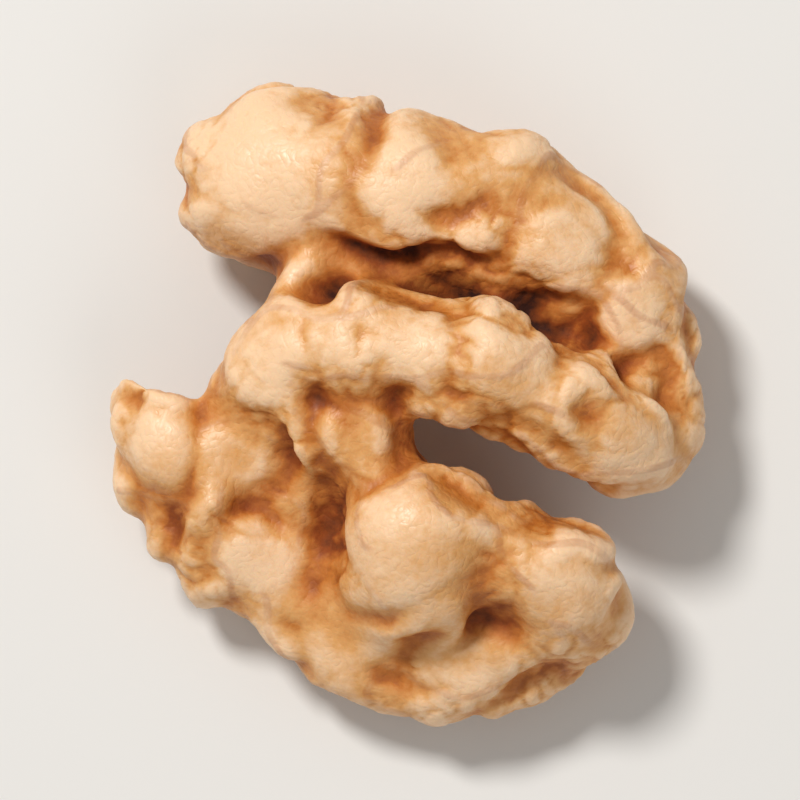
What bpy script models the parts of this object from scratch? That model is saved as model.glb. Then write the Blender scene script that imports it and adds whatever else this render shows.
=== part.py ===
"""One half of a shelled walnut kernel, lying on its hollow side with the wrinkled outer side up.

The kernel is one seed leaf: two fat lobes joined by a thin bridge. Each lobe is a sheet of flesh
crumpled into folds, as a brain is. Here every fold is a row of knuckles round a tube along its own
path, and the lobes have cores that the folds sit on. One skin is drawn over all of them and creased,
and it is cut flat where the kernel rests.

Frame: +Z up, metres. The origin is on the resting plane, under the middle of the kernel. X runs along
the nut, from the closed end to the open end of the notch, and Y runs across the two lobes.
"""

import random

import bmesh
import bpy
from mathutils import Matrix, Vector

MM = 0.001

# Fineness of the skin, in millimetres, and the share of its triangles that is kept.
SKIN_CELL = 0.30
THIN_RATIO = 0.12

# A fold is a thinner tube inside a row of uneven knuckles. These are shares of the fold's radius.
TUBE_SHARE = 0.88
TUBE_SIDES = 4
KNUCKLE_STEP = 1.0
KNUCKLE_SHARES = (0.86, 1.06)
KNUCKLE_SHIFT = 0.16
KNUCKLE_SEED = 7

# The creases that divide the knuckles: the size of the pattern they follow and their depth, in
# millimetres, how often the pattern turns from ridge to furrow across that size, and the share of
# the depth that is cut in, not raised.
CREASE_SPACING = 5.5
CREASE_TURNS = 20.0
CREASE_DEPTH = 1.0
CREASE_TOP = 0.8

# How far the whole kernel is moved, in millimetres, so it is centred and its feet reach the plane.
SEAT_SHIFT = (0.08, 0.10, -0.6)

# Each fold is a path of (x, y, z, radius), in millimetres above the resting plane.
FOLDS = {
    # The upper lobe, on the +Y side of the notch.
    "upper_rim": [
        (-11.2, 7.6, 5.8, 4.8), (-8.0, 9.0, 6.8, 4.9), (-4.4, 10.0, 7.3, 4.6), (-0.4, 10.6, 7.6, 4.4),
        (3.8, 10.5, 7.4, 4.2), (7.6, 9.7, 6.8, 3.9), (10.6, 7.4, 6.2, 3.4), (12.2, 4.6, 6.0, 2.9),
        (12.7, 2.2, 6.0, 2.4),
    ],
    "upper_crest": [
        (-6.4, -0.6, 9.0, 3.3), (-4.0, 1.2, 9.9, 3.3), (-1.4, 2.4, 10.6, 3.4), (1.8, 2.8, 10.9, 3.6),
        (5.2, 2.9, 10.4, 3.7), (8.8, 2.5, 9.2, 3.5), (11.8, 1.6, 7.8, 2.8),
    ],
    "upper_inner": [
        (-11.0, 6.0, 3.8, 2.4), (-8.0, 4.9, 2.9, 2.5), (-3.6, 4.7, 3.4, 2.6), (0.8, 4.7, 3.0, 2.6),
        (5.2, 4.4, 2.7, 2.5), (9.4, 4.0, 3.8, 2.3),
    ],
    "upper_under_rim": [
        (-10.4, 9.2, 3.4, 2.6), (-6.4, 11.2, 2.5, 2.4), (-1.8, 12.0, 3.4, 2.3), (3.2, 11.6, 2.6, 2.3),
        (7.4, 10.2, 3.6, 2.4), (10.2, 7.4, 3.4, 2.4),
    ],
    # The lower lobe, on the -Y side: a big knob beside the bridge, then a crest out to the open end.
    "lower_knob": [
        (0.8, -4.7, 8.6, 3.2), (2.2, -5.9, 8.8, 4.0), (3.6, -7.2, 8.6, 4.5), (4.2, -8.1, 8.0, 4.3),
    ],
    "lower_crest": [
        (7.9, -5.4, 8.3, 3.0), (9.4, -5.5, 8.4, 3.5), (11.2, -5.8, 7.7, 3.5), (12.9, -6.6, 6.3, 2.8),
    ],
    "lower_shoulder": [
        (7.8, -9.4, 5.4, 2.9), (10.6, -8.8, 5.2, 2.8),
    ],
    "lower_rim": [
        (-2.8, -11.6, 4.6, 2.6), (0.8, -12.9, 4.3, 2.7), (4.6, -12.9, 4.1, 2.8), (8.0, -12.0, 4.1, 2.8),
        (11.0, -10.2, 4.4, 2.6), (13.2, -7.9, 4.6, 2.3),
    ],
    "lower_inner": [
        (-1.0, -6.2, 3.8, 2.6), (2.8, -5.5, 2.9, 2.6), (6.8, -5.5, 2.7, 2.6), (10.4, -6.4, 3.6, 2.4),
    ],
    # The flap of the lower lobe that reaches round the closed end.
    "flap_rim": [
        (-12.4, -5.2, 6.0, 1.7), (-11.4, -7.6, 5.6, 2.0), (-9.2, -9.8, 5.0, 2.2), (-6.6, -11.5, 4.6, 2.3),
        (-3.6, -12.2, 4.4, 2.3),
    ],
    "flap_crest": [
        (-11.4, -5.0, 7.2, 1.5), (-9.6, -6.8, 7.3, 1.8), (-7.6, -8.4, 6.8, 1.9), (-5.0, -10.4, 5.8, 2.1),
    ],
    "flap_inner": [
        (-9.8, -6.8, 3.6, 2.2), (-7.2, -7.8, 2.3, 2.3), (-4.2, -8.6, 3.0, 2.4),
    ],
    # The bridge that joins the lobes.
    "bridge_fold": [
        (-7.0, -2.2, 8.3, 2.4), (-4.2, -2.4, 8.9, 2.7), (-1.6, -2.3, 9.0, 2.7), (0.0, -2.2, 8.7, 2.2),
    ],
    # The bottoms of the two long furrows: inside the upper lobe, and between the knob and the flap.
    "upper_furrow": [
        (-7.0, 3.5, 7.8, 2.1), (-4.8, 5.4, 7.1, 2.0), (-1.6, 6.6, 7.1, 1.9), (2.6, 6.8, 7.0, 1.9),
        (7.0, 6.4, 6.5, 1.8),
    ],
    "lower_furrow": [
        (-2.2, -5.2, 6.3, 1.9), (-1.6, -7.6, 5.9, 2.1), (-0.4, -9.6, 5.4, 2.2),
    ],
}

# Cores and thin webs are ellipsoids: centre and half sizes, in millimetres.
CORES = {
    "upper_core": ((-0.5, 7.4, 5.4), (11.6, 5.8, 3.4)),
    "lower_core": ((3.8, -8.4, 5.2), (8.8, 4.4, 2.9)),
    "flap_core": ((-7.0, -8.8, 4.6), (4.6, 2.6, 1.6)),
    "flap_web": ((-5.8, -6.0, 6.2), (3.8, 2.6, 1.0)),
    "bridge_sheet": ((-4.4, -3.0, 7.4), (5.2, 4.6, 1.1)),
}


def clear_scene():
    for obj in list(bpy.data.objects):
        bpy.data.objects.remove(obj)


def add_ball(body, centre, half_sizes):
    scale = Matrix.Diagonal((*half_sizes, 1.0))
    place = Matrix.Scale(MM, 4) @ Matrix.Translation(centre) @ scale
    bmesh.ops.create_icosphere(body, subdivisions=4, radius=1.0, matrix=place)


def fold_curve(name, path):
    """A smooth curve through the path's points, whose radii are in millimetres."""
    curve = bpy.data.curves.new(name, "CURVE")
    curve.dimensions = "3D"
    spline = curve.splines.new("BEZIER")
    spline.bezier_points.add(len(path) - 1)
    for point, (x, y, z, radius) in zip(spline.bezier_points, path):
        point.co = Vector((x, y, z)) * MM
        point.radius = radius
        point.handle_left_type = point.handle_right_type = "AUTO"
    return curve


def mesh_of(name, curve):
    holder = bpy.data.objects.new(name, curve)
    bpy.context.scene.collection.objects.link(holder)
    graph = bpy.context.evaluated_depsgraph_get()
    mesh = bpy.data.meshes.new_from_object(holder.evaluated_get(graph))
    bpy.data.objects.remove(holder)
    return mesh


def add_tube(body, name, path):
    """The inside of a fold: a tube with round ends."""
    curve = fold_curve(name, path)
    curve.bevel_depth = TUBE_SHARE * MM
    curve.bevel_resolution = TUBE_SIDES
    curve.use_fill_caps = True
    tube = mesh_of(name, curve)
    body.from_mesh(tube)
    bpy.data.meshes.remove(tube)
    for x, y, z, radius in (path[0], path[-1]):
        add_ball(body, (x, y, z), (radius * TUBE_SHARE,) * 3)


def add_knuckles(body, path, draw):
    """Uneven balls in a row along a fold's path, which give it its lumps."""
    for start, end in zip(path, path[1:]):
        a, b = Vector(start), Vector(end)
        radius = (a.w + b.w) / 2
        count = max(1, round((b - a).to_3d().length / (radius * KNUCKLE_STEP)))
        for i in range(count):
            x, y, z, radius = a.lerp(b, (i + draw.uniform(0.2, 0.8)) / count)
            shift = [draw.uniform(-KNUCKLE_SHIFT, KNUCKLE_SHIFT) * radius for _ in range(3)]
            size = radius * draw.uniform(*KNUCKLE_SHARES)
            add_ball(body, Vector((x, y, z)) + Vector(shift), (size, size, size))


def kernel_body():
    """All folds and cores as overlapping closed shells in one mesh."""
    draw = random.Random(KNUCKLE_SEED)
    body = bmesh.new()
    for name, path in FOLDS.items():
        add_tube(body, name, path)
        add_knuckles(body, path, draw)
    for centre, half_sizes in CORES.values():
        add_ball(body, centre, half_sizes)
    bmesh.ops.transform(body, verts=body.verts, matrix=Matrix.Translation(Vector(SEAT_SHIFT) * MM))
    mesh = bpy.data.meshes.new("kernel_half")
    body.to_mesh(mesh)
    body.free()
    return mesh


def add_remesh(obj, name, cell):
    remesh = obj.modifiers.new(name, "REMESH")
    remesh.mode = "VOXEL"
    remesh.voxel_size = cell * MM
    remesh.use_smooth_shade = True


def add_smooth(obj, name, rounds):
    smooth = obj.modifiers.new(name, "SMOOTH")
    smooth.factor = 0.5
    smooth.iterations = rounds


def add_creases(obj):
    """Meandering furrows: the level lines of a noise field, as a marble pattern draws them."""
    pattern = bpy.data.textures.new("meandering_creases", "MARBLE")
    pattern.marble_type = "SHARP"
    pattern.noise_type = "SOFT_NOISE"
    pattern.noise_basis = "ORIGINAL_PERLIN"
    pattern.noise_basis_2 = "SIN"
    pattern.noise_scale = CREASE_SPACING * MM
    pattern.noise_depth = 0
    pattern.turbulence = CREASE_TURNS
    creases = obj.modifiers.new("creases", "DISPLACE")
    creases.texture = pattern
    creases.texture_coords = "LOCAL"
    creases.mid_level = CREASE_TOP
    creases.strength = CREASE_DEPTH * MM


def add_rest(obj):
    """Cut the underside level, so the kernel stands on small flat feet on the resting plane."""
    side = 60 * MM
    block = bmesh.new()
    bmesh.ops.create_cube(block, size=side, matrix=Matrix.Translation((0, 0, -side / 2)))
    mesh = bpy.data.meshes.new("rest_cutter")
    block.to_mesh(mesh)
    block.free()
    cutter = bpy.data.objects.new("rest_cutter", mesh)
    cutter.hide_render = True
    cutter.display_type = "WIRE"
    bpy.context.scene.collection.objects.link(cutter)
    cut = obj.modifiers.new("flat_feet", "BOOLEAN")
    cut.operation = "DIFFERENCE"
    cut.solver = "EXACT"
    cut.object = cutter


def kernel_material():
    skin = bpy.data.materials.new("walnut_skin")
    skin.use_nodes = True
    shader = skin.node_tree.nodes["Principled BSDF"]
    shader.inputs["Base Color"].default_value = (0.62, 0.34, 0.14, 1.0)
    shader.inputs["Roughness"].default_value = 0.45
    shader.inputs["Metallic"].default_value = 0.0
    return skin


def build():
    clear_scene()
    kernel = bpy.data.objects.new("kernel_half", kernel_body())
    bpy.context.scene.collection.objects.link(kernel)
    kernel.data.materials.append(kernel_material())
    add_remesh(kernel, "one_skin", SKIN_CELL)
    add_smooth(kernel, "soften_folds", 3)
    add_creases(kernel)
    add_remesh(kernel, "clean_skin", SKIN_CELL)
    add_smooth(kernel, "soften_creases", 5)
    thin = kernel.modifiers.new("thin_out", "DECIMATE")
    thin.ratio = THIN_RATIO
    add_rest(kernel)


build()
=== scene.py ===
# %% [markdown]
# # A shelled walnut kernel half
#
# A walnut kernel is one soft seed leaf, crumpled like a brain so that it fits inside a round shell.
# Cracked out of the shell it falls into halves, and each half has two fat lobes joined by a thin
# bridge. It wears a papery skin: pale cream where it is stretched over the knuckles, orange-brown
# where it gathers in the folds, with fine brown veins.
#
# This lesson starts from the kernel's solid, which already has the true size and the main folds, and
# gives it a skin: finer folds, wrinkles, veins, and colours that know where the folds are.

# %% Load the solid kernel
import math

import bmesh
import bpy
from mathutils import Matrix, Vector


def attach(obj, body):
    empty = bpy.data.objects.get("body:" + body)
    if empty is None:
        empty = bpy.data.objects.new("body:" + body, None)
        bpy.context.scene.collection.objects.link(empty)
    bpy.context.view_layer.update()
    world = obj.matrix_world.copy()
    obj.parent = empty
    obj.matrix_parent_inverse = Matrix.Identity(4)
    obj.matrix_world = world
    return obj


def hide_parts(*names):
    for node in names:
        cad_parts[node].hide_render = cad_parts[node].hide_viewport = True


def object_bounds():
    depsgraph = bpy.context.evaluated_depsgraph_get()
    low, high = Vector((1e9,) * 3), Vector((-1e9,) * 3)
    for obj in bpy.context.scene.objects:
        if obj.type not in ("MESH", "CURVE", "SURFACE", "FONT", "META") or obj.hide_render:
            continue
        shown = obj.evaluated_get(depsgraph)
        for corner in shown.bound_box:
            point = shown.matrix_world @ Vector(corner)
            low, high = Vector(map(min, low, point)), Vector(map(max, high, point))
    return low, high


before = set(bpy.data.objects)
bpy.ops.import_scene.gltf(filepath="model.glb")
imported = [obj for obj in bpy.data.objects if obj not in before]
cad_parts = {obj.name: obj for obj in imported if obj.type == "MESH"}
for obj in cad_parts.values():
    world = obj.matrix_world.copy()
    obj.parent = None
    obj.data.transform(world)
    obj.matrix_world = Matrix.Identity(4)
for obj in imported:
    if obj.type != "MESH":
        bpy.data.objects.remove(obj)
MM = 0.001
solid_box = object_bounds()
size = (solid_box[1] - solid_box[0]) / MM
print(f"The kernel is {size.x:.1f} by {size.y:.1f} by {size.z:.1f} mm.")

# %% [markdown]
# ## One smooth skin
#
# The solid has large flat triangles, and its neighbours don't share corners. A copy is merged into
# one surface first, and the solid itself is left alone. Subdivision would keep the uneven triangles,
# so a Remesh modifier redraws the surface with even cells a fifth of a millimetre wide. A few rounds
# of smoothing then take away the flat spots. Even cells matter later: blurring and wrinkling work
# the same everywhere on them.

# %% Copy the kernel and merge its corners
SAME_CORNER = 0.001 * MM  # corners closer than this are one corner


def merged_copy(node, name):
    """A copy of a solid's mesh whose triangles share their corners."""
    body = bmesh.new()
    body.from_mesh(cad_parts[node].data)
    bmesh.ops.remove_doubles(body, verts=body.verts, dist=SAME_CORNER)
    mesh = bpy.data.meshes.new(name)
    body.to_mesh(mesh)
    body.free()
    copy = bpy.data.objects.new(name, mesh)
    bpy.context.scene.collection.objects.link(copy)
    return copy


rough_kernel = merged_copy("kernel_half", "rough_kernel")
print(f"The merged copy has {len(rough_kernel.data.vertices)} corners.")

# %% Redraw it with even cells
SKIN_CELL = 0.21 * MM
SMOOTH_ROUNDS = 9


def plain_mesh(obj, name):
    """What an object's modifiers make of it, as a new mesh with no modifiers."""
    graph = bpy.context.evaluated_depsgraph_get()
    mesh = bpy.data.meshes.new_from_object(obj.evaluated_get(graph))
    mesh.name = name
    return mesh


def kernel_skin():
    skin = bpy.data.objects.new("walnut_kernel", rough_kernel.data.copy())
    bpy.context.scene.collection.objects.link(skin)
    remesh = skin.modifiers.new("even_cells", "REMESH")
    remesh.mode = "VOXEL"
    remesh.voxel_size = SKIN_CELL
    remesh.use_smooth_shade = True
    soften = skin.modifiers.new("soften", "SMOOTH")
    soften.factor = 0.5
    soften.iterations = SMOOTH_ROUNDS
    even = plain_mesh(skin, "walnut_kernel")
    skin.modifiers.clear()
    skin.data = even
    return skin


kernel = kernel_skin()
print(f"The skin has {len(kernel.data.polygons)} cells.")

# %% [markdown]
# ## Helpers for node trees
#
# The folds, the veins and the colours are all node trees, and small helpers keep them readable. The
# first ones add a node, fill its sockets and do sums. They work in trees for shapes and in trees for
# colours alike, because both kinds know these nodes.

# %% Helpers for any node tree


def add(tree, kind, sockets=None, **settings):
    """Add a node. A socket is given a value, or another node's output to be linked to."""
    node = tree.nodes.new(kind)
    for key, value in settings.items():
        setattr(node, key, value)
    for key, value in (sockets or {}).items():
        if isinstance(value, bpy.types.NodeSocket):
            tree.links.new(value, node.inputs[key])
        else:
            node.inputs[key].default_value = value
    return node


def sum_of(tree, operation, a, b=0.0, clamp=False):
    node = add(tree, "ShaderNodeMath", {0: a, 1: b}, operation=operation, use_clamp=clamp)
    return node.outputs[0]


def vector_of(tree, operation, a, b):
    """A sum on vectors. A dot product gives a number, and the others give a vector."""
    node = add(tree, "ShaderNodeVectorMath", {0: a, 1: b}, operation=operation)
    return node.outputs["Value" if operation == "DOT_PRODUCT" else "Vector"]


def remap(tree, value, low, high, to_low=0.0, to_high=1.0, smooth=False):
    sockets = {"Value": value, "From Min": low, "From Max": high, "To Min": to_low, "To Max": to_high}
    kind = "SMOOTHSTEP" if smooth else "LINEAR"
    return add(tree, "ShaderNodeMapRange", sockets, interpolation_type=kind).outputs["Result"]


def scaled(tree, vector, factor):
    sockets = {0: vector, "Scale": factor}
    return add(tree, "ShaderNodeVectorMath", sockets, operation="SCALE").outputs["Vector"]


def distance(tree, a, b):
    return add(tree, "ShaderNodeVectorMath", {0: a, 1: b}, operation="DISTANCE").outputs["Value"]


def live_socket(sockets, name="Value"):
    """Some nodes keep one socket for each kind of value under one name, and one of them is live."""
    return next(socket for socket in sockets if socket.enabled and socket.name == name)


print("The helpers for any tree are ready.")

# %% [markdown]
# ## Helpers for shapes
#
# A Geometry Nodes tree takes the skin in and gives a changed skin back. Its main sizes are named
# inputs, so they can be found and changed in one place. The result is kept as a plain mesh after each
# step, so that the next step starts from a known shape.

# %% Helpers for trees that shape the skin
SOCKET_TYPES = {float: "NodeSocketFloat", int: "NodeSocketInt", bpy.types.Object: "NodeSocketObject",
                bpy.types.Material: "NodeSocketMaterial"}


def shape_tree(name, inputs):
    """A Geometry Nodes tree with a geometry going in and out, and the named inputs."""
    tree = bpy.data.node_groups.new(name, "GeometryNodeTree")
    tree.interface.new_socket("Geometry", in_out="INPUT", socket_type="NodeSocketGeometry")
    for label, value in inputs.items():
        socket_type = next(SOCKET_TYPES[kind] for kind in SOCKET_TYPES if isinstance(value, kind))
        tree.interface.new_socket(label, in_out="INPUT", socket_type=socket_type)
    tree.interface.new_socket("Geometry", in_out="OUTPUT", socket_type="NodeSocketGeometry")
    return tree, tree.nodes.new("NodeGroupInput").outputs


def place_and_normal(tree):
    place = tree.nodes.new("GeometryNodeInputPosition").outputs[0]
    return place, tree.nodes.new("GeometryNodeInputNormal").outputs[0]


def blur(tree, value, rounds, kind="FLOAT_VECTOR"):
    node = add(tree, "GeometryNodeBlurAttribute", {"Iterations": rounds}, data_type=kind)
    tree.links.new(value, live_socket(node.inputs))
    return live_socket(node.outputs)


def finish_tree(tree, geometry, skin):
    real = add(tree, "GeometryNodeRealizeInstances", {"Geometry": geometry})
    dressed = add(tree, "GeometryNodeSetMaterial", {"Geometry": real.outputs[0], "Material": skin})
    end = tree.nodes.new("NodeGroupOutput")
    tree.links.new(dressed.outputs[0], end.inputs["Geometry"])


def move_and_finish(tree, geometry, offset, skin):
    moved = add(tree, "GeometryNodeSetPosition", {"Geometry": geometry, "Offset": offset})
    finish_tree(tree, moved.outputs[0], skin)


def shape_with(obj, tree, inputs):
    """Run a tree on an object with these inputs, and keep the result as a plain mesh."""
    step = obj.modifiers.new(tree.name, "NODES")
    step.node_group = tree
    for item in tree.interface.items_tree:
        if item.in_out == "INPUT" and item.name in inputs:
            step[item.identifier] = inputs[item.name]
    made = plain_mesh(obj, obj.name)
    obj.modifiers.remove(step)
    obj.data = made


def store(tree, geometry, name, value):
    """Keep a number at every point of the skin, for the colours to read later."""
    sockets = {"Geometry": geometry, "Name": name, "Value": value}
    node = add(tree, "GeometryNodeStoreNamedAttribute", sockets, data_type="FLOAT", domain="POINT")
    return node.outputs["Geometry"]


skin_finish = bpy.data.materials.new("walnut_skin")
skin_finish.use_nodes = True
print("The helpers for shapes are ready.")

# %% [markdown]
# ## Tight knuckles
#
# Some knuckles of the real kernel pressed so hard against the shell that they are smooth, round and
# pale. Each is given by a place and a reach in millimetres, and by how pale it is. That paleness is
# partly the stretched skin and partly painted light: it is set higher at the closed end, on the
# lamp's side, than at the open end. Inside its reach the skin moves to its own blurred shape, which
# fills the small hollows, and swells a little. It swells along blurred normals, because the walls of
# a pit would meet if each kept its own. Tightness and paleness are stored, so that the wrinkles and
# the colours can go by them.

# %% Swell the tight knuckles
# Each row: x, y and z of a place and a reach in mm, then a paleness that is partly the stretched skin
# and partly painted light.
TIGHT_KNUCKLES = {
    "closed_end": (-10.6, 8.0, 8.6, 5.8, 1.0), "upper_middle": (-4.0, 10.6, 11.0, 3.2, 0.9),
    "upper_outer": (4.8, 10.8, 10.4, 3.2, 0.5), "upper_open_end": (9.6, 8.4, 9.0, 2.8, 0.2),
    "crest_root": (-7.2, -0.4, 11.2, 3.6, 0.6), "crest_neck": (-4.5, 1.7, 12.0, 2.4, 0.2),
    "crest_top": (-1.0, 3.0, 13.0, 3.2, 0.5), "crest_middle": (4.8, 3.4, 13.0, 3.2, 0.2),
    "crest_open_end": (11.2, 2.2, 9.8, 3.2, 0.3), "lower_knob": (2.8, -7.2, 12.0, 5.0, 0.25),
    "lower_open_end": (11.2, -6.2, 10.0, 3.4, 0.1), "flap": (-10.6, -6.8, 8.0, 3.0, 0.4),
    "flap_middle": (-6.6, -5.8, 7.6, 3.2, 0.7), "flap_root": (-3.4, -10.4, 7.0, 3.6, 0.9),
    "lower_rim": (2.0, -12.4, 6.4, 3.6, 0.8), "lower_rim_end": (8.2, -11.2, 6.4, 3.2, 0.5),
}
SWELLS = {"Rounds": 120, "Normal rounds": 40, "Swell": 0.50 * MM, "Skin": skin_finish}
TIGHT_CORE = 0.3  # the share of a knuckle's reach that is wholly tight


def swell_tree():
    tree, given = shape_tree("tight_knuckles", SWELLS)
    place, out = place_and_normal(tree)
    tight, pale = 0.0, 0.0
    for x, y, z, reach, paleness_and_light in TIGHT_KNUCKLES.values():
        away = distance(tree, place, (x * MM, y * MM, z * MM))
        near = remap(tree, away, reach * TIGHT_CORE * MM, reach * MM, 1.0, 0.0, smooth=True)
        tight = sum_of(tree, "MAXIMUM", tight, near)
        pale = sum_of(tree, "MAXIMUM", pale, sum_of(tree, "MULTIPLY", near, paleness_and_light))
    filled = vector_of(tree, "SUBTRACT", blur(tree, place, given["Rounds"]), place)
    swelled = scaled(tree, blur(tree, out, given["Normal rounds"]), given["Swell"])
    offset = scaled(tree, vector_of(tree, "ADD", filled, swelled), tight)
    # The paleness stored here is partly painted light.
    marked = store(tree, store(tree, given["Geometry"], "tight", tight), "pale", pale)
    move_and_finish(tree, marked, offset, given["Skin"])
    return tree


shape_with(kernel, swell_tree(), SWELLS)
print(f"{len(TIGHT_KNUCKLES)} knuckles are tight.")

# %% [markdown]
# ## Knuckles and wrinkles
#
# Between the main folds the real kernel is puckered, like cloth that was gathered too tightly: round
# pads from one to three millimetres wide, with sharp creases between them. They could be sculpted one
# by one, but they follow a rule. A smooth noise swings above and below zero, and its absolute value
# touches zero along a net of thin lines with round pads between. So that value, laid on the skin in
# three sizes, gives pads, smaller pads and wrinkles. The noise is stretched upwards, because on the
# flanks the real furrows run down towards the rim. A slow noise calms it in places, and the tight
# knuckles stay nearly smooth.

# %% Make pads from noise
PAD_GAIN = 2.2       # brings the noise's usual height to about 1
PAD_FLATNESS = 0.6   # below 1 the pads are flatter on top and the creases sharper


def pads(tree, position, size, seed):
    """Round pads between sharp creases: 0 in the creases and about 1 on the pads."""
    scale = sum_of(tree, "DIVIDE", 1.0, size)
    sockets = {"Vector": position, "W": seed, "Scale": scale, "Detail": 0.0}
    field = add(tree, "ShaderNodeTexNoise", sockets, noise_dimensions="4D", normalize=False)
    height = sum_of(tree, "ABSOLUTE", field.outputs[0])
    height = sum_of(tree, "MULTIPLY", height, PAD_GAIN, clamp=True)
    return sum_of(tree, "POWER", height, PAD_FLATNESS)


print(f"Pads swing between 0 and 1, with creases sharpened by {PAD_FLATNESS}.")

# %% Build the tree for knuckles and wrinkles
PUCKERS = {"Pad size": 3.8 * MM, "Pad depth": 0.32 * MM, "Small pad size": 1.7 * MM,
           "Small pad depth": 0.17 * MM, "Wrinkle size": 0.8 * MM, "Wrinkle depth": 0.09 * MM,
           "Calm size": 7.0 * MM, "Bend": 0.7 * MM, "Seed": 3.0, "Skin": skin_finish}
BEND_SIZE = 2.6 * MM    # how far apart the bends are
NOISE_MIDDLE = (0.5, 0.5, 0.5)
UPWARD_STRETCH = 0.65   # below 1 the pads are taller than they are wide
USUAL_PAD = 0.75        # a pad of this height leaves the skin where it is
SEED_STEP = 7.0         # keeps the three sizes of pads from following the same pattern
CALM_EDGE = (0.40, 0.60)  # where the slow noise goes from calm to lively
CALM_DEPTH = 0.35       # the share of the depth that is left in calm places
TIGHT_DEPTH = 0.25      # the share of the depth that is left on tight knuckles


def pucker_tree():
    tree, given = shape_tree("knuckles_and_wrinkles", PUCKERS)
    place, out = place_and_normal(tree)
    sway = add(tree, "ShaderNodeTexNoise", {"Vector": place, "Scale": 1 / BEND_SIZE}).outputs["Color"]
    bend = scaled(tree, vector_of(tree, "SUBTRACT", sway, NOISE_MIDDLE), given["Bend"])
    bent = vector_of(tree, "ADD", place, bend)
    bent = vector_of(tree, "MULTIPLY", bent, (1.0, 1.0, UPWARD_STRETCH))
    calm_scale = sum_of(tree, "DIVIDE", 1.0, given["Calm size"])
    sockets = {"Vector": place, "W": given["Seed"], "Scale": calm_scale}
    calm = add(tree, "ShaderNodeTexNoise", sockets, noise_dimensions="4D").outputs[0]
    lively = remap(tree, calm, *CALM_EDGE, CALM_DEPTH, 1.0, smooth=True)
    lift = 0.0
    for turn, name in enumerate(("Pad", "Small pad", "Wrinkle")):
        seed = sum_of(tree, "ADD", given["Seed"], SEED_STEP * turn)
        rise = sum_of(tree, "SUBTRACT", pads(tree, bent, given[name + " size"], seed), USUAL_PAD)
        lift = sum_of(tree, "ADD", lift, sum_of(tree, "MULTIPLY", rise, given[name + " depth"]))
    tight = add(tree, "GeometryNodeInputNamedAttribute", {"Name": "tight"}, data_type="FLOAT")
    loose = remap(tree, tight.outputs[0], 0.0, 1.0, 1.0, TIGHT_DEPTH)
    lift = sum_of(tree, "MULTIPLY", lift, sum_of(tree, "MULTIPLY", lively, loose))
    move_and_finish(tree, given["Geometry"], scaled(tree, out, lift), given["Skin"])
    return tree


shape_with(kernel, pucker_tree(), PUCKERS)
print(f"The kernel is now {kernel.dimensions.x / MM:.1f} mm long.")

# %% [markdown]
# ## Veins
#
# Veins enter the kernel at its closed end and branch over both lobes. A branching pattern could be
# drawn by hand, but the shortest ways over a surface from many points to one place already join up
# like veins do. The tree finds such ways along the edges of the rough copy, whose uneven triangles
# make the ways wander, smooths them into curves, and then raises the skin a little where it lies
# close to a curve. The distance to the curves is stored for the colours.

# %% Build the tree for veins
VEINS = {"Paths": rough_kernel, "Vein share": 0.02, "Vein width": 0.10 * MM, "Vein height": 0.03 * MM,
         "Root reach": 2.6 * MM, "Seed": 11, "Skin": skin_finish}
VEIN_ROOT = (-6.5 * MM, -1.5 * MM, 9.0 * MM)
VEIN_FADE = 2.8         # a vein fades out at this many times its width
VEIN_STEP = 0.3 * MM    # the distance between the points of a vein's curve
VEIN_ROUNDS = 6         # rounds of blur that turn the rough ways into curves
DETOUR_SIZE = 1.5 * MM  # how far apart the places are that veins go round
DETOUR_COST = (0.3, 0.7, 0.3, 2.5)  # between two values of a noise, a step costs from this to this


def vein_tree():
    tree, given = shape_tree("skin_veins", VEINS)
    place, out = place_and_normal(tree)
    rough = add(tree, "GeometryNodeObjectInfo", {"Object": given["Paths"]}).outputs["Geometry"]
    at_root = sum_of(tree, "LESS_THAN", distance(tree, place, VEIN_ROOT), given["Root reach"])
    bumpy = add(tree, "ShaderNodeTexNoise", {"Vector": place, "Scale": 1 / DETOUR_SIZE}).outputs[0]
    cost = remap(tree, bumpy, *DETOUR_COST)
    ways = add(tree, "GeometryNodeInputShortestEdgePaths", {"End Vertex": at_root, "Edge Cost": cost})
    sockets = {"Probability": given["Vein share"], "Seed": given["Seed"]}
    starts = live_socket(add(tree, "FunctionNodeRandomValue", sockets, data_type="BOOLEAN").outputs)
    lines = add(tree, "GeometryNodeEdgePathsToCurves", {
        "Mesh": rough, "Start Vertices": starts,
        "Next Vertex Index": ways.outputs["Next Vertex Index"]})
    sockets = {"Curve": lines.outputs[0], "Length": VEIN_STEP}
    even = add(tree, "GeometryNodeResampleCurve", sockets, mode="LENGTH").outputs[0]
    sockets = {"Geometry": even, "Position": blur(tree, place, VEIN_ROUNDS)}
    soft = add(tree, "GeometryNodeSetPosition", sockets)
    wires = add(tree, "GeometryNodeCurveToMesh", {"Curve": soft.outputs[0]}).outputs[0]
    gap = add(tree, "GeometryNodeProximity", {0: wires}, target_element="EDGES").outputs["Distance"]
    faded = sum_of(tree, "MULTIPLY", given["Vein width"], VEIN_FADE)
    vein = remap(tree, gap, given["Vein width"], faded, 1.0, 0.0, smooth=True)
    lift = sum_of(tree, "MULTIPLY", vein, given["Vein height"])
    marked = store(tree, given["Geometry"], "vein_gap", sum_of(tree, "DIVIDE", gap, MM))
    move_and_finish(tree, marked, scaled(tree, out, lift), given["Skin"])
    return tree


shape_with(kernel, vein_tree(), VEINS)
print(f"Veins are raised by {VEINS['Vein height'] / MM:.2f} mm.")
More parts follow.
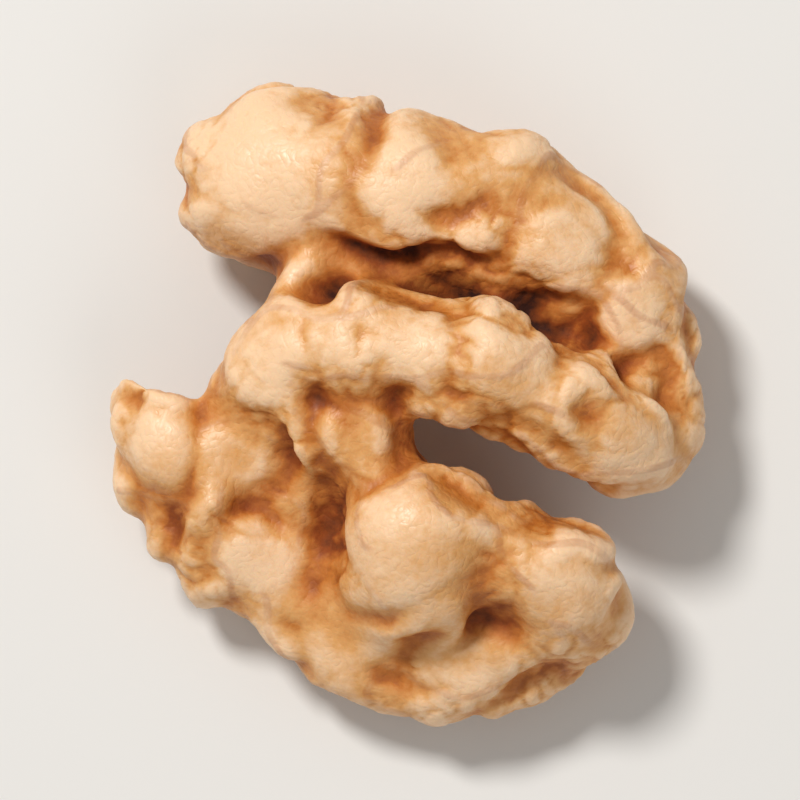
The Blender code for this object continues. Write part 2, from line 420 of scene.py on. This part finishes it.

# %% [markdown]
# ## Where the folds are
#
# The colours have to know what is a ridge and what is a furrow. Blurring the skin's own positions
# answers that: in a furrow the blurred skin lies above the real one, and on a ridge it lies below.
# A long blur finds the folds and a short one finds the wrinkles. Neither knows the walls of the
# notch or the hollow underside, which are flat but shut in, so the tree also sends out rays from each
# point and counts how many meet the kernel again. The colours darken the furrows and wrinkles partly
# for the gathered skin and partly as painted shade, and they darken by the share of rays that meet
# the kernel as painted shade alone. Last, the tree lifts the points that the wrinkles pushed under
# the table back up to it, so that the kernel rests flat.

# %% Measure ridges, furrows and shut-in places
FURROWS = {"Fold blur": 130, "Wrinkle blur": 8, "Reach": 6.0 * MM, "Skin": skin_finish}
RAYS = 20
RAY_START = 0.2 * MM  # rays start a little off the skin, so that they don't meet it where they leave
RAY_BLUR = 6          # rounds of blur that even out the few rays
GOLDEN_TURN = math.pi * (3 - math.sqrt(5))  # turning by this angle each time spreads the rays evenly


def hollow(tree, place, out, rounds):
    """How far the skin lies under its own blurred shape, in millimetres."""
    rise = vector_of(tree, "SUBTRACT", blur(tree, place, rounds), place)
    return sum_of(tree, "DIVIDE", vector_of(tree, "DOT_PRODUCT", rise, out), MM)


# The colours darken the skin by this share of rays: painted shade.
def shut_in(tree, geometry, place, out, reach):
    """The share of the rays leaving the skin that meet the kernel again within reach."""
    start = vector_of(tree, "ADD", place, scaled(tree, out, RAY_START))
    met, sent = 0.0, 0.001  # a little more than nothing, so that the share can always be worked out
    for ray in range(RAYS):
        height = 1 - (2 * ray + 1) / RAYS
        turn = ray * GOLDEN_TURN
        flat = math.sqrt(1 - height * height)
        aim = (flat * math.cos(turn), flat * math.sin(turn), height)
        weight = sum_of(tree, "MAXIMUM", vector_of(tree, "DOT_PRODUCT", out, aim), 0.0)
        hit = add(tree, "GeometryNodeRaycast", {
            "Target Geometry": geometry, "Source Position": start, "Ray Direction": aim,
            "Ray Length": reach}).outputs["Is Hit"]
        met = sum_of(tree, "ADD", met, sum_of(tree, "MULTIPLY", weight, hit))
        sent = sum_of(tree, "ADD", sent, weight)
    return blur(tree, sum_of(tree, "DIVIDE", met, sent), RAY_BLUR, "FLOAT")


def furrow_tree():
    tree, given = shape_tree("ridges_and_furrows", FURROWS)
    place, out = place_and_normal(tree)
    skin = given["Geometry"]
    made = store(tree, skin, "fold", hollow(tree, place, out, given["Fold blur"]))
    made = store(tree, made, "wrinkle", hollow(tree, place, out, given["Wrinkle blur"]))
    # The share of rays is stored for painted shade in the colours and for a duller gloss.
    made = store(tree, made, "shut_in", shut_in(tree, skin, place, out, given["Reach"]))
    x, y, z = add(tree, "ShaderNodeSeparateXYZ", {0: place}).outputs
    level = add(tree, "ShaderNodeCombineXYZ", {"X": x, "Y": y, "Z": sum_of(tree, "MAXIMUM", z, 0.0)})
    seated = add(tree, "GeometryNodeSetPosition", {"Geometry": made, "Position": level.outputs[0]})
    finish_tree(tree, seated.outputs[0], given["Skin"])
    return tree


shape_with(kernel, furrow_tree(), FURROWS)
for name in ("fold", "wrinkle", "shut_in", "tight", "vein_gap"):
    values = sorted(item.value for item in kernel.data.attributes[name].data)
    picks = [values[int(len(values) * share)] for share in (0.02, 0.25, 0.5, 0.75, 0.98)]
    print(f"{name} runs from {picks[0]:.3f} over {picks[2]:.3f} to {picks[-1]:.3f}.")

# %% [markdown]
# ## The colour and gloss of the skin
#
# The skin is a thin film over pale flesh. Where it is stretched it lets the flesh show and looks
# cream, and where it is gathered it looks orange-brown. So the colour is a sum: the measures of the
# folds move it from cream to brown, a pale knuckle moves it back, and noise adds patches. The brown
# in the folds and wrinkles is partly that gathered skin and partly painted shade, the places where
# many rays meet the kernel again are darkened as painted shade alone, and the pale knuckles are
# partly painted light. The veins go on top. Flesh lets a little light in, so the shader scatters some
# of it.
# The skin's oil gives a soft, uneven gloss, which is duller in the folds, and its finest crinkles are
# a bump, because they are smaller than the skin's cells.

# %% Choose the colours
# Cream for stretched skin to dark brown; the darker hues serve the gathered skin's own brown and
# painted shade alike.
FOLD_AND_SHADE_HUES = [(0.0, "F4CDA4"), (0.25, "DFA463"), (0.50, "C4772F"), (0.75, "91450D"), (1.0, "3A1303")]
VEIN_HUE = "A8581A"
VEIN_EDGE = (0.13, 0.30)  # a vein's colour is full up to the first gap in mm, and gone at the second
# Between the first two values of a measure or a noise, the sum gains from the third to the fourth.
# A noise is given by its size in mm, its detail and its roughness.
# Folds and wrinkles darken the skin partly for its gathered brown and partly as painted shade, and
# wrinkle tops get a little painted light; the share of rays meeting the kernel paints shade alone;
# the knuckles' paleness is partly painted light.
COLOUR_BY_MEASURE = {"fold": (-0.55, 0.75, 0.07, 0.57), "shut_in": (0.35, 1.0, 0.0, 0.36),
                     "pale": (0.0, 1.0, 0.03, -0.20), "wrinkle": (-0.05, 0.06, -0.10, 0.20)}
COLOUR_BY_NOISE = [((5.0, 2.0, 0.5), (0.35, 0.65, -0.10, 0.12)),
                   ((0.45, 4.0, 0.6), (0.3, 0.7, -0.05, 0.06))]
VEIN_BY_NOISE = ((1.8, 2.0, 0.5), (0.35, 0.6, 0.15, 0.40))
GLOSS_BY_NOISE = ((1.2, 3.0, 0.5), (0.3, 0.7, 0.35, 0.56))
DULL_BY_MEASURE = {"shut_in": (0.2, 0.7, 0.0, 0.3), "fold": (0.0, 0.5, 0.0, 0.25)}
CRINKLES = [(0.50 * MM, 1.0, 1.0), (0.24 * MM, 2.0, 0.4)]  # a size, a seed and a share of the depth
CRINKLE_DEPTH = 0.045 * MM
CRINKLE_STRENGTH = 0.5


def hue(code):
    """A colour from the six hex digits that paint charts use, made linear for the shader."""
    parts = [int(code[i:i + 2], 16) / 255 for i in (0, 2, 4)]
    return (*((c / 12.92 if c <= 0.04045 else ((c + 0.055) / 1.055) ** 2.4) for c in parts), 1.0)


print(f"The skin goes through {len(FOLD_AND_SHADE_HUES)} colours from ridge to furrow.")

# %% Paint the skin


def skin_colour(tree, measure, noise):
    """The sum that moves the colour along the hues, and the veins over it."""
    total = 0.0
    for name, span in COLOUR_BY_MEASURE.items():
        total = sum_of(tree, "ADD", total, remap(tree, measure(name), *span))
    for grain, span in COLOUR_BY_NOISE:
        total = sum_of(tree, "ADD", total, remap(tree, noise(*grain), *span))
    ramp = add(tree, "ShaderNodeValToRGB", {"Fac": total})
    stops = ramp.color_ramp.elements
    while len(stops) < len(FOLD_AND_SHADE_HUES):
        stops.new(0.5)
    for stop, (at, code) in zip(stops, FOLD_AND_SHADE_HUES):
        stop.position = at
        stop.color = hue(code)
    vein = remap(tree, measure("vein_gap"), *VEIN_EDGE, 1.0, 0.0, smooth=True)
    grain, span = VEIN_BY_NOISE
    strength = remap(tree, noise(*grain), *span)
    veined = add(tree, "ShaderNodeMix", data_type="RGBA", blend_type="MIX")
    tree.links.new(sum_of(tree, "MULTIPLY", vein, strength), live_socket(veined.inputs, "Factor"))
    tree.links.new(ramp.outputs["Color"], live_socket(veined.inputs, "A"))
    live_socket(veined.inputs, "B").default_value = hue(VEIN_HUE)
    return live_socket(veined.outputs, "Result")


def skin_roughness(tree, measure, noise):
    grain, span = GLOSS_BY_NOISE
    rough = remap(tree, noise(*grain), *span)
    for name, span in DULL_BY_MEASURE.items():
        rough = sum_of(tree, "ADD", rough, remap(tree, measure(name), *span))
    return rough


def paint_skin(finish):
    tree = finish.node_tree
    shader = tree.nodes["Principled BSDF"]
    place = tree.nodes.new("ShaderNodeTexCoord").outputs["Object"]

    def measure(name):
        return add(tree, "ShaderNodeAttribute", attribute_name=name).outputs["Fac"]

    def noise(size, detail, rough):
        sockets = {"Vector": place, "Scale": 1 / (size * MM), "Detail": detail, "Roughness": rough}
        return add(tree, "ShaderNodeTexNoise", sockets).outputs[0]

    tree.links.new(skin_colour(tree, measure, noise), shader.inputs["Base Color"])
    tree.links.new(skin_roughness(tree, measure, noise), shader.inputs["Roughness"])
    height = 0.0
    for size, seed, share in CRINKLES:
        crinkle = sum_of(tree, "MULTIPLY", pads(tree, place, size, seed), share)
        height = sum_of(tree, "ADD", height, crinkle)
    sockets = {"Height": height, "Strength": CRINKLE_STRENGTH, "Distance": CRINKLE_DEPTH}
    tree.links.new(add(tree, "ShaderNodeBump", sockets).outputs[0], shader.inputs["Normal"])
    shader.inputs["Specular IOR Level"].default_value = 0.45
    shader.inputs["Subsurface Weight"].default_value = 0.12
    shader.inputs["Subsurface Radius"].default_value = (1.0, 0.45, 0.2)
    shader.inputs["Subsurface Scale"].default_value = 0.7 * MM


paint_skin(skin_finish)
print("The skin is painted.")

# %% [markdown]
# ## Put the kernel in its place
#
# The finished skin stands for the solid, which stays hidden for collision. The rough copy was only a
# map for the veins, so it goes.

# %% Hand the kernel over
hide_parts("kernel_half")
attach(kernel, "root")
bpy.data.objects.remove(rough_kernel)
kernel.data.shade_smooth()
triangles = sum(len(face.vertices) - 2 for face in kernel.data.polygons)
print(f"{kernel.name} has {triangles} triangles.")

# %% [markdown]
# ## Table, light and camera
#
# A plain pale table keeps the eye on the kernel. One soft lamp hangs high on the upper left, as a
# window would, and a weaker and wider one fills the shadows from the other side. The camera looks
# straight down, turned a little, so that the notch opens to the lower right. It stands far off with a
# long lens, so that the kernel's own shape is not bent. The Standard view shows the colours as they
# were chosen, without the softer curve of a film look.

# %% Lay the table
TABLE_HALF = 0.6
TABLE_HUE = (0.78, 0.77, 0.75, 1.0)

corners = [(x * TABLE_HALF, y * TABLE_HALF, 0) for x, y in ((-1, -1), (1, -1), (1, 1), (-1, 1))]
table_mesh = bpy.data.meshes.new("table")
table_mesh.from_pydata(corners, [], [(0, 1, 2, 3)])
table = bpy.data.objects.new("table", table_mesh)
bpy.context.scene.collection.objects.link(table)
table_paint = bpy.data.materials.new("table_paint")
table_paint.use_nodes = True
table_shader = table_paint.node_tree.nodes["Principled BSDF"]
table_shader.inputs["Base Color"].default_value = TABLE_HUE
table_shader.inputs["Roughness"].default_value = 0.7
table.data.materials.append(table_paint)
print(f"The table is {2 * TABLE_HALF:.1f} m wide.")

# %% Hang the lamps
LAMPS = [{"name": "window_light", "place": (-0.30, 0.18, 0.50), "width": 0.13, "watts": 2.9,
          "colour": (1.0, 0.98, 0.95)},
         {"name": "fill_light", "place": (0.35, -0.25, 0.40), "width": 0.40, "watts": 0.5,
          "colour": (1.0, 0.97, 0.93)}]
ROOM_HUE = (1.0, 0.99, 0.97, 1.0)
ROOM_STRENGTH = 0.32


def lamp(name, place, width, watts, colour):
    """A round lamp that faces the kernel."""
    light = bpy.data.lights.new(name, "AREA")
    light.shape = "DISK"
    light.size = width
    light.energy = watts
    light.color = colour
    holder = bpy.data.objects.new(name, light)
    holder.location = place
    holder.rotation_euler = (-Vector(place)).to_track_quat("-Z", "Y").to_euler()
    bpy.context.scene.collection.objects.link(holder)


for row in LAMPS:
    lamp(**row)
room = bpy.data.worlds.new("room")
room.use_nodes = True
room.node_tree.nodes["Background"].inputs["Color"].default_value = ROOM_HUE
room.node_tree.nodes["Background"].inputs["Strength"].default_value = ROOM_STRENGTH
bpy.context.scene.world = room
bpy.context.scene.view_settings.view_transform = "Standard"
print(f"{len(LAMPS)} lamps hang over the table.")

# %% Set the camera
CAMERA_HEIGHT = 0.5
CAMERA_TURN = math.radians(22)
VIEW_WIDTH = 41 * MM
SENSOR_WIDTH = 36.0

middle = (solid_box[0] + solid_box[1]) / 2
camera_data = bpy.data.cameras.new("camera")
camera_data.sensor_width = SENSOR_WIDTH
camera_data.lens = SENSOR_WIDTH * (CAMERA_HEIGHT - middle.z) / VIEW_WIDTH
camera = bpy.data.objects.new("camera", camera_data)
camera.location = (middle.x, middle.y, CAMERA_HEIGHT)
camera.rotation_euler = (0, 0, CAMERA_TURN)
bpy.context.scene.collection.objects.link(camera)
bpy.context.scene.camera = camera
print(f"The lens is {camera_data.lens:.0f} mm.")

# %% Measure and finish
print("Solid box:", [round(v / MM, 2) for p in solid_box for v in p])
